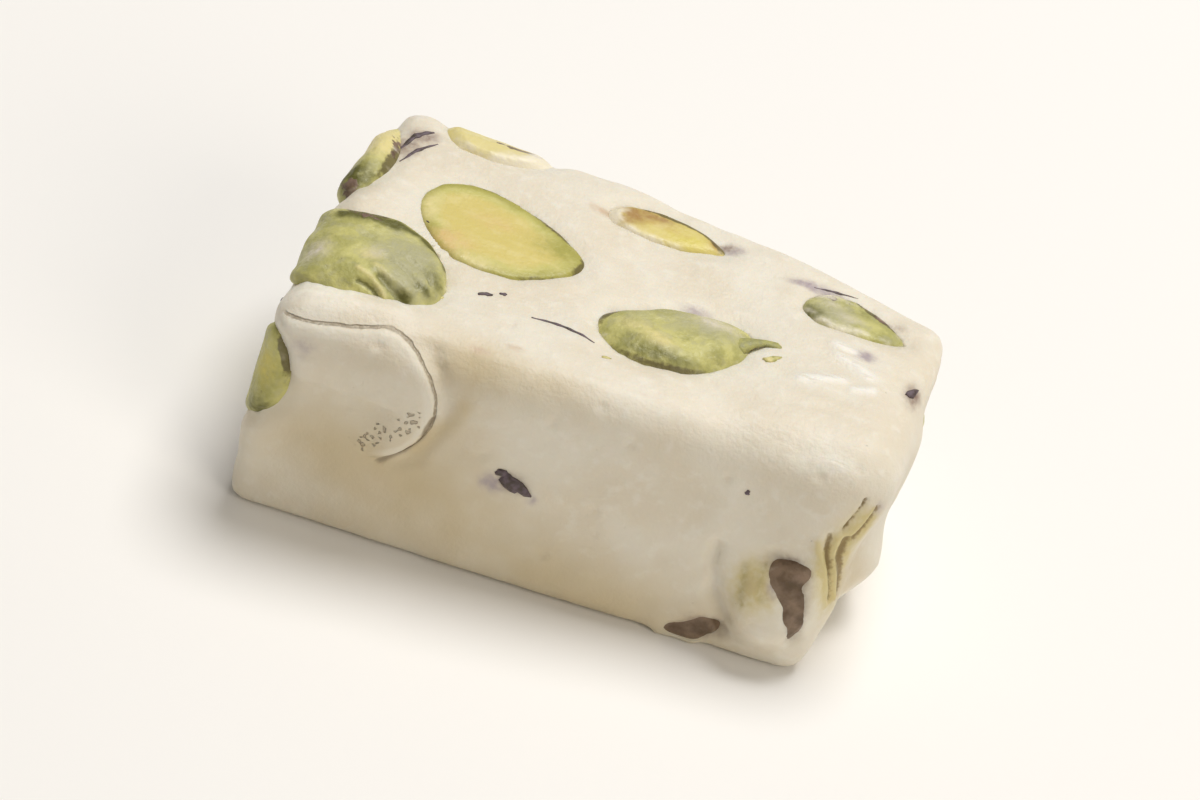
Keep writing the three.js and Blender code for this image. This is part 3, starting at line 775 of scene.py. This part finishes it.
def cut_material(name, outer, middle, edge, edge_reach):
    """A sliced kernel: pale inside, greener or browner towards its rim."""
    s = Shades(name)
    depth = s.math("ADD", s.field("rim"), s.spread(s.noise(0.5, detail=3.0), width=1.2))
    grain = s.noise(0.8, detail=3.0, stretch=(0.8, 1.2, 1.0))
    colour = s.mix(s.between(depth, 0.7, 1.8), outer, middle)
    colour = s.mix(s.between(grain, 0.45, 0.7, 0.0, 0.45), colour, PALE_YELLOW)
    colour = s.mix(s.between(depth, 0.1, edge_reach, 0.95, 0.0), colour, edge)
    roughness = s.between(grain, 0.3, 0.7, 0.36, 0.48)
    return kernel_finish(s, colour, roughness, s.noise(3.0, detail=4.0), height_mm=0.06)


def whole_material(name, light, middle, deep):
    """A kernel's wrinkled outside: pale on its ridges and dark in its valleys."""
    s = Shades(name)
    patches = s.noise(0.6, detail=4.0)
    grain = s.noise(2.6, detail=4.0)
    colour = s.mix(s.between(patches, 0.4, 0.6), middle, light)
    colour = s.mix(s.between(s.noise(0.9, detail=3.0), 0.5, 0.66, 0.0, 0.5), colour, SAGE)
    valley = s.math("ADD", s.field("valley"), s.spread(grain, width=1.4))
    colour = s.mix(s.between(valley, 0.3, 1.1, 0.0, 0.7), colour, deep)
    roughness = s.between(grain, 0.3, 0.7, 0.38, 0.52)
    return kernel_finish(s, colour, roughness, grain, height_mm=0.1)


def crumb_material(name, dark, light):
    """Two colours of skin or kernel."""
    s = Shades(name)
    mottle = s.noise(2.0, detail=4.0)
    colour = s.mix(s.between(mottle, 0.35, 0.65), dark, light)
    normal = s.bump(s.noise(6.0, detail=3.0), distance_mm=0.05)
    roughness = s.between(mottle, 0.3, 0.7, 0.4, 0.6)
    return s.finish(colour, roughness, normal, subsurface=0.05, radius=(0.6, 0.4, 0.3), scale_mm=0.4)


# The nougat

def flap_fields(co, normals):
    """How far each point is outside the flap, in its own plane, and how much of its edge shows there."""
    x = co[:, 0] - FLAP_X
    z = co[:, 2] - FLAP_Z
    out = np.where(x > 0, np.hypot(x, z), z - FLAP_SLOPE * x) - FLAP_RADIUS
    on_front = smoothstep(-normals[:, 1], *FRONT_FACING)
    below = np.where(z < 0, smoothstep(x, *FLAP_FOOT_START), 1.0)
    return np.clip(out, -FLAP_REACH, FLAP_REACH), on_front * below * smoothstep(x, *FLAP_LEFT_START)


def bubble_hollows(co, shown):
    """Small round hollows left by air bubbles, at places drawn from the points that show."""
    rng = np.random.default_rng(7)
    sunk = np.zeros(len(co))
    for place in rng.choice(np.flatnonzero(shown > BUBBLE_SHARE), BUBBLES, replace=False):
        size = BUBBLE_RADIUS * rng.uniform(*BUBBLE_SIZES)
        near = np.flatnonzero(np.abs(co - co[place]).max(axis=1) < size)
        away = np.linalg.norm(co[near] - co[place], axis=1) / size
        depth = BUBBLE_DEPTH * size / BUBBLE_RADIUS * (1 - smoothstep(away, *BUBBLE_EDGE))
        sunk[near] = np.maximum(sunk[near], depth)
    return sunk


def closing_moves(co, spot, away, out):
    """The moves that draw the pockets shut on their kernels, with a lip that creeps over here and there."""
    way = (spot - co) / np.maximum(away, 1e-6)[:, None]
    hold = 1 - smoothstep(away, POCKET_GAP, PULL_REACH)
    creep = smoothstep(noise(co, LIP_PITCH, 31), *LIP_PATCHES) * LIP_CREEP * hold ** 2
    return way * ((away + PRESS) * hold + creep)[:, None] + out * (creep * LIP_SLOPE)[:, None]


def rounded_off(mesh, surface):
    """Evens the nougat, and returns how clear each point is of the pockets and of the floor."""
    co = points_of(mesh)
    _, away, _ = surface.nearest(co)
    shown = smoothstep(away, POCKET_GAP + PAST_POCKET[0], POCKET_GAP + PAST_POCKET[1])
    floor = smoothstep(co[:, 2], *NOUGAT_FLOOR)
    smooth(mesh, NOUGAT_ROUNDS, EVEN_SHARE * floor)
    smooth(mesh, OPEN_NOUGAT_ROUNDS, EVEN_SHARE * shown * floor)
    return shown, floor


def nougat_fields(co, normals):
    """The fields that both shape and colour the nougat, by name."""
    fields = {name: lined(co, normals, name) for name in ("ridge", "furrow", "fold", "pits")}
    fields["flap"], fields["flap_shown"] = flap_fields(co, normals)
    fields["smear"] = np.minimum(daubed(co, "smear") + lined(co, normals, "smear"), MOST_SMEAR)
    return fields


def nougat_rise(co, normals, shown, fields):
    """How far each point of the nougat rises from its solid, in millimetres."""
    upper = smoothstep(normals[:, 2], *TOP_FACING)
    torn = 1 - smoothstep(np.linalg.norm((co - TORN_MIDDLE) / TORN_REACH, axis=1), *TORN_EDGE)
    flap = fields["flap"]
    trough = np.exp(-(((flap - FLAP_TROUGH_OUT) / FLAP_TROUGH_WIDTH) ** 2))
    rise = noise_relief(co, LUMPS, 1) + noise_relief(co, DIMPLES, 2)
    rise += noise_relief(co, TOP_STREAKS, 3, upper) + SMEAR_HEIGHT * fields["smear"]
    rise += FLAP_STEP * fields["flap_shown"] * (1 - smoothstep(flap, -FLAP_EDGE, FLAP_EDGE))
    rise -= FLAP_TROUGH * fields["flap_shown"] * trough * smoothstep(co[:, 0], *FLAP_TROUGH_START)
    rise += noise_relief(co, TORN_LUMPS, 5, torn) + RIDGE_HEIGHT * fields["ridge"]
    crease = CREASE_DEPTH * lined(co, normals, "crease")
    rise -= FURROW_DEPTH * fields["furrow"] + FOLD_DEPTH * fields["fold"] + crease
    rise -= daubed(co, "open") * (1 + OPENING_UNEVENNESS * noise(co, OPENING_PITCH, 8))
    return rise - bubble_hollows(co, shown)


def make_nougat(material, kernel_outs):
    mesh = even_mesh(("nougat", *COVERED), NOUGAT_VOXEL, COVER_THICKNESS)
    bare = [name for name in kernels if name not in COVERED]
    surface = Surface([nodes[name].data for name in bare])
    shown, floor = rounded_off(mesh, surface)
    co = points_of(mesh)
    normals = normals_of(mesh)
    fields = nougat_fields(co, normals)
    rise = nougat_rise(co, normals, shown, fields)
    co = co + normals * (rise * floor * np.maximum(shown, POCKET_SHARE))[:, None]

    spot, away, owner = surface.nearest(co)
    moves = closing_moves(co, spot, away, np.array([kernel_outs[bare[k]] for k in owner]))
    closed = co + evened(mesh, moves, CLOSING_ROUNDS, EVEN_SHARE)
    closed[:, 2] = np.maximum(closed[:, 2], 0.0)
    set_points(mesh, closed)

    fields["near"] = np.clip(surface.nearest(closed)[1], 0, NEAR_REACH)
    for name in ("tan_shade", *NOUGAT_TINTS):
        fields[name] = daubed(co, name) + NOUGAT_LINE_TINT * lined(co, normals, name)
    for name, values in fields.items():
        set_field(mesh, name, values)
    return finish_piece(mesh, "nougat_body", material, "nougat")


# The pistachios

def own_axes(co):
    """A kernel's middle, and its axes from the longest to the shortest."""
    middle = co.mean(axis=0)
    _, _, axes = np.linalg.svd(co - middle, full_matrices=False)
    return middle, axes


def skin_field(name, co, middle):
    """More than a half where brown skin clings to a kernel."""
    if name not in SKIN_SIDES:
        return np.zeros(len(co))
    side, start = SKIN_SIDES[name]
    reach = (co - middle) @ (np.array(side) / np.linalg.norm(side))
    return smoothstep(reach / reach.max(), start - SKIN_EASE, start + SKIN_EASE)


def wrinkles(co, middle, axes):
    """How deep each point lies in the valleys between a kernel's wrinkles, which run along it."""
    local = (co - middle) @ axes.T
    bend = np.stack([noise(local, WRINKLE_BEND_PITCH, k) for k in (41, 42, 43)], axis=1)
    bent = local + WRINKLE_BEND * bend
    fine = FINE_WRINKLE_SHARE * np.abs(noise(bent, FINE_WRINKLES, 12))
    ridges = np.abs(noise(bent, COARSE_WRINKLES, 11)) + fine
    return VALLEY_SHARE * (1 - smoothstep(ridges, 0.0, VALLEY_EDGE))


def kernel_fields(name, co, normals, middle, rib):
    """The fields that colour a kernel, by name."""
    fields = {
        "skin": skin_field(name, co, middle) + daubed(co, "skin"),
        "dark": USUAL_DARK + daubed(co, "dark"),
        "film": FILM.get(name, USUAL_FILM) + daubed(co, "film"),
    }
    for tint in KERNEL_TINTS:
        fields[tint] = daubed(co, tint) + KERNEL_LINE_TINT * lined(co, normals, tint, KERNEL_WAVER)
    fields["pale"] += RIB_PALENESS * rib
    return fields


def make_kernel(node, nougat, materials):
    """Makes a kernel's piece, and returns the way that it faces."""
    name = node.removeprefix("pistachio_")
    slot = slots[node]
    cut = slot in ("pistachio_cut", "pistachio_amber")
    mesh = even_mesh((node,), KERNEL_VOXEL)
    rim = nougat.nearest(points_of(mesh))[1] - POCKET_GAP
    floor = smoothstep(points_of(mesh)[:, 2], *KERNEL_FLOOR)
    smooth(mesh, CUT_KERNEL_ROUNDS if cut else WHOLE_KERNEL_ROUNDS, EVEN_SHARE * floor)
    co = points_of(mesh)
    normals = normals_of(mesh)
    middle, axes = own_axes(co)
    out = normals[rim > FACE_INSET].mean(axis=0)
    out /= np.linalg.norm(out)
    sideways = normals - np.outer(normals @ out, out)

    groove = lined(co, normals, "groove", KERNEL_WAVER)
    rib = lined(co, normals, "rib", KERNEL_WAVER)
    valley = np.maximum(wrinkles(co, middle, axes), GROOVE_SHARE * groove)
    depth = CUT_KERNEL_VALLEY if cut else WHOLE_KERNEL_VALLEY
    lumps = noise_relief(co, CUT_KERNEL_LUMPS if cut else WHOLE_KERNEL_LUMPS, 6)
    rise = (lumps - depth * valley + RIB_HEIGHT * rib) * floor
    co = co + normals * rise[:, None] + KERNEL_SWELL * sideways
    co[:, 2] = np.maximum(co[:, 2], 0.0)
    set_points(mesh, co)

    set_field(mesh, "rim", rim)
    set_field(mesh, "valley", valley)
    for field_name, values in kernel_fields(name, co, normals, middle, rib).items():
        set_field(mesh, field_name, values)
    finish_piece(mesh, "kernel_" + name, materials[slot], node)
    return out


def make_kernels():
    materials = {
        "pistachio_cut": cut_material("pistachio_cut", YELLOW_GREEN, MID_YELLOW, RIM_GREEN, 0.9),
        "pistachio_amber": cut_material("pistachio_amber", MID_YELLOW, AMBER, MID_YELLOW, 0.3),
        "pistachio_green": whole_material("pistachio_green", LIGHT_GREEN, MID_GREEN, DEEP_GREEN),
        "pistachio_skin": whole_material("pistachio_skin", LIGHT_GREEN, OLIVE, SKIN_BROWN),
    }
    nougat = Surface([nodes["nougat"].data])
    return {node: make_kernel(node, nougat, materials) for node in kernels}


# Small pieces on the nougat

# Strips of loose skin and fibre that lie on the nougat: their points, each with the strip's width there
STRANDS = (
    ((-21.0, 9.4, 20.3, 0.15), (-20.0, 11.4, 20.2, 0.6), (-18.6, 12.4, 20.2, 0.2)),
    ((-20.4, 7.6, 20.3, 0.1), (-19.4, 9.6, 20.2, 0.4), (-18.0, 11.2, 20.2, 0.1)),
    ((-6.1, -6.4, 20.2, 0.15), (-4.2, -6.3, 20.2, 0.3), (-2.3, -6.7, 20.2, 0.28), (-0.8, -7.2, 20.2, 0.1)),
    ((14.0, 8.1, 20.1, 0.05), (15.8, 8.4, 20.1, 0.25), (17.6, 8.7, 20.0, 0.05)),
)

# The beak of the kernel in the middle of the top: its points, each with the beak's width there
BEAK = (
    (8.8, -2.2, 19.3, 1.2),
    (9.9, -1.5, 19.6, 1.8),
    (10.8, -0.9, 19.8, 1.1),
    (11.7, -0.4, 19.8, 0.7),
    (12.6, -0.3, 19.8, 0.75),
    (13.4, -0.5, 19.75, 0.15),
)

# How strips are made: steps between two points, sides, and the waves of their width and of their way
STRIP_STEPS = 10
STRIP_SIDES = 8
WIDTH_WAVE = 0.8
WIDTH_WAVE_TURN = 1.1
WAY_WAVE_TURN = 0.7

# How flakes are made: rings from top to bottom, sides, height over width, and the waves of their outline:
# how many go round, their height and how they shift from flake to flake
FLAKE_RINGS = 5
FLAKE_SIDES = 14
FLAKE_LIFT = 0.22
FLAKE_WAVES = ((2, 0.22, 1), (3, 0.16, 2), (5, 0.12, 1))

# Flakes scattered over the back and the left end: how many, their length, width over length, the least
# that the surface there leans back or to the left, the most that it leans up, and its least height
HIDDEN_FLAKES = 30
HIDDEN_FLAKE_LENGTHS = (0.3, 1.1)
HIDDEN_FLAKE_WIDTHS = (0.4, 0.8)
BACK_LEAN = 0.4
LEFT_LEAN = 0.6
UP_LEAN = 0.5
HIDDEN_FLAKE_FOOT = 1

# Flakes of skin: place, length, width and turn in degrees
FLAKES = (
    ((-3.5, -14.9, 10.4), 2.7, 1.5, -35),
    ((-4.5, -14.9, 11.1), 1.2, 0.9, -10),
    ((-10.1, -5.4, 20.2), 1.1, 0.55, 25),
    ((-8.8, -4.7, 20.2), 0.6, 0.4, 30),
    ((23.9, -0.4, 19.5), 1.6, 0.6, 70),
    ((14.0, -12.8, 15.0), 0.5, 0.4, 0),
)

# Crumbs of green kernel, in the same way
CRUMBS = (
    ((12.6, -2.1, 19.8), 1.5, 0.7, 25),
    ((0.4, -8.4, 20.1), 0.7, 0.4, 10),
    ((-13.3, -7.4, 20.0), 0.6, 0.4, 60),
)


def ringed_faces(rings, sides):
    """The faces of a closed tube through rings of points, counterclockwise seen from its first end."""
    faces = [
        (i * sides + j, (i + 1) * sides + j, (i + 1) * sides + (j + 1) % sides, i * sides + (j + 1) % sides)
        for i in range(rings - 1)
        for j in range(sides)
    ]
    faces.append(tuple(range(sides)))
    faces.append(tuple(range((rings - 1) * sides, rings * sides))[::-1])
    return faces


def strand(tree, line, wander, lift):
    """The points and faces of a strip on a surface, or where its points are; lift is height over width."""
    points = np.array(line)
    steps = STRIP_STEPS * (len(points) - 1)
    verts = []
    for i in range(steps + 1):
        at = i / steps * (len(points) - 1)
        spot = [np.interp(at, range(len(points)), points[:, axis]) for axis in range(4)]
        k = min(int(at), len(points) - 2)
        hit, normal = tree.find_nearest(Vector(spot[:3]))[:2] if tree else (spot[:3], (0.0, 0.0, 1.0))
        normal = np.array(normal)
        side = np.cross(normal, points[k + 1, :3] - points[k, :3])
        side /= np.linalg.norm(side)
        half = spot[3] / 2 * (1 + WIDTH_WAVE * wander * np.sin(WIDTH_WAVE_TURN * i + 2))
        shift = wander * half * np.sin(WAY_WAVE_TURN * i + len(points))
        for angle in np.linspace(2 * np.pi, 0, STRIP_SIDES, endpoint=False):
            sideways = shift + half * np.cos(angle)
            verts.append(np.array(hit) + side * sideways + normal * lift * half * np.sin(angle))
    return verts, ringed_faces(steps + 1, STRIP_SIDES)


def flake(tree, place, length, width, turn, seed):
    """The points and faces of an uneven flake, half sunk in a surface."""
    hit, normal, _, _ = tree.find_nearest(Vector(place))
    normal = np.array(normal)
    along = np.cross((0.0, 1.0, 0.0) if abs(normal[1]) < 0.7 else (0.0, 0.0, 1.0), normal)
    along /= np.linalg.norm(along)
    side = np.cross(normal, along)
    angle = np.radians(turn)
    along, side = along * np.cos(angle) + side * np.sin(angle), side * np.cos(angle) - along * np.sin(angle)
    verts = []
    for i in range(1, FLAKE_RINGS):
        lift = FLAKE_LIFT * np.cos(np.pi * i / FLAKE_RINGS)
        wide = np.sin(np.pi * i / FLAKE_RINGS)
        for j in range(FLAKE_SIDES):
            t = 2 * np.pi * j / FLAKE_SIDES
            waves = [height * np.sin(count * t + shift * seed) for count, height, shift in FLAKE_WAVES]
            spread = along * np.cos(t) * length / 2 + side * np.sin(t) * width / 2
            verts.append(np.array(hit) + spread * wide * (1 + sum(waves)) + normal * lift * width)
    return verts, ringed_faces(FLAKE_RINGS - 1, FLAKE_SIDES)


def finish_bits(parts, name, material):
    """Joins parts, each points and faces, into one piece."""
    verts = []
    faces = []
    for part_verts, part_faces in parts:
        faces += [tuple(len(verts) + i for i in face) for face in part_faces]
        verts += part_verts
    mesh = bpy.data.meshes.new(name)
    mesh.from_pydata(verts, [], faces)
    mesh.update()
    finish_piece(mesh, name, material)


def make_crumbs(nougat):
    beak = crumb_material("beak", BEAK_GREEN, MID_GREEN)
    finish_bits([strand(None, BEAK, wander=0.0, lift=0.5)], "green_beak", beak)
    tree = Surface([nougat.data]).tree
    parts = [flake(tree, *values, seed=k) for k, values in enumerate(CRUMBS)]
    finish_bits(parts, "green_crumbs", crumb_material("crumb", MID_GREEN, PALE_YELLOW))


def hidden_flakes(nougat, tree):
    """Small flakes scattered over the back and the left end."""
    rng = np.random.default_rng(11)
    co = points_of(nougat.data) / MM
    normals = normals_of(nougat.data)
    hidden = (normals[:, 1] > BACK_LEAN) | (normals[:, 0] < -LEFT_LEAN)
    hidden &= (normals[:, 2] < UP_LEAN) & (co[:, 2] > HIDDEN_FLAKE_FOOT)
    parts = []
    for place in rng.choice(np.flatnonzero(hidden), HIDDEN_FLAKES, replace=False):
        length = rng.uniform(*HIDDEN_FLAKE_LENGTHS)
        width = length * rng.uniform(*HIDDEN_FLAKE_WIDTHS)
        parts.append(flake(tree, co[place], length, width, rng.uniform(0, 180), rng.uniform(0, 6)))
    return parts


def make_flakes(nougat):
    tree = Surface([nougat.data]).tree
    parts = [strand(tree, line, wander=0.2, lift=0.35) for line in STRANDS]
    parts += [flake(tree, *values, seed=k) for k, values in enumerate(FLAKES)]
    parts += hidden_flakes(nougat, tree)
    material = crumb_material("skin_flake", FLAKE_DARK, FLAKE_PURPLE)
    finish_bits(parts, "skin_flakes", material)


# The room

CAMERA_PLACE = Vector((19.7, -440.7, 366.65)) * MM
CAMERA_AIM = Vector((0.5, 0.0, 9.0)) * MM
CAMERA_ROLL_DEG = 16.0
CAMERA_LENS = 215.0
SENSOR_WIDTH = 36.0

FLOOR_SIZE = 3.0
FLOOR_COLOUR = (0.93, 0.91, 0.88, 1)
FLOOR_ROUGHNESS = 0.7

# Lights: name, place and width in metres, watts and colour
LIGHT_AIM = (0, 0, 0.01)
LIGHTS = (
    ("key", (0.14, 0.28, 0.9), 0.5, 6.8, (1.0, 0.99, 0.98)),
    ("fill", (0.66, -0.52, 0.58), 0.6, 2.45, (1.0, 0.93, 0.81)),
)
WORLD_COLOUR = (1.0, 0.97, 0.92, 1)
WORLD_STRENGTH = 0.25


def make_camera():
    data = bpy.data.cameras.new("camera")
    data.lens = CAMERA_LENS
    data.sensor_width = SENSOR_WIDTH
    data.clip_start = 0.01
    camera = bpy.data.objects.new("camera", data)
    bpy.context.scene.collection.objects.link(camera)
    look = (CAMERA_AIM - CAMERA_PLACE).to_track_quat("-Z", "Y").to_matrix().to_4x4()
    roll = Matrix.Rotation(np.radians(CAMERA_ROLL_DEG), 4, "Z")
    camera.matrix_world = Matrix.Translation(CAMERA_PLACE) @ look @ roll
    bpy.context.scene.camera = camera


def make_floor():
    mesh = bpy.data.meshes.new("floor")
    half = FLOOR_SIZE / 2
    corners = [(-half, -half, 0), (half, -half, 0), (half, half, 0), (-half, half, 0)]
    mesh.from_pydata(corners, [], [(0, 1, 2, 3)])
    material = bpy.data.materials.new("floor")
    material.use_nodes = True
    shader = material.node_tree.nodes["Principled BSDF"]
    shader.inputs["Base Color"].default_value = FLOOR_COLOUR
    shader.inputs["Roughness"].default_value = FLOOR_ROUGHNESS
    mesh.materials.append(material)
    floor = bpy.data.objects.new("floor", mesh)
    bpy.context.scene.collection.objects.link(floor)


def make_lights():
    for name, place, size, watts, colour in LIGHTS:
        data = bpy.data.lights.new(name, "AREA")
        data.shape = "DISK"
        data.size = size
        data.energy = watts
        data.color = colour
        light = bpy.data.objects.new(name, data)
        bpy.context.scene.collection.objects.link(light)
        light.location = place
        light.rotation_euler = (Vector(LIGHT_AIM) - Vector(place)).to_track_quat("-Z", "Y").to_euler()


def make_world():
    world = bpy.data.worlds.new("world")
    world.use_nodes = True
    background = world.node_tree.nodes["Background"]
    background.inputs["Color"].default_value = WORLD_COLOUR
    background.inputs["Strength"].default_value = WORLD_STRENGTH
    bpy.context.scene.world = world
    bpy.context.scene.view_settings.view_transform = "Standard"


make_camera()
make_floor()
make_lights()
make_world()
kernel_ways = make_kernels()
nougat_body = make_nougat(nougat_material(), kernel_ways)
make_flakes(nougat_body)
make_crumbs(nougat_body)
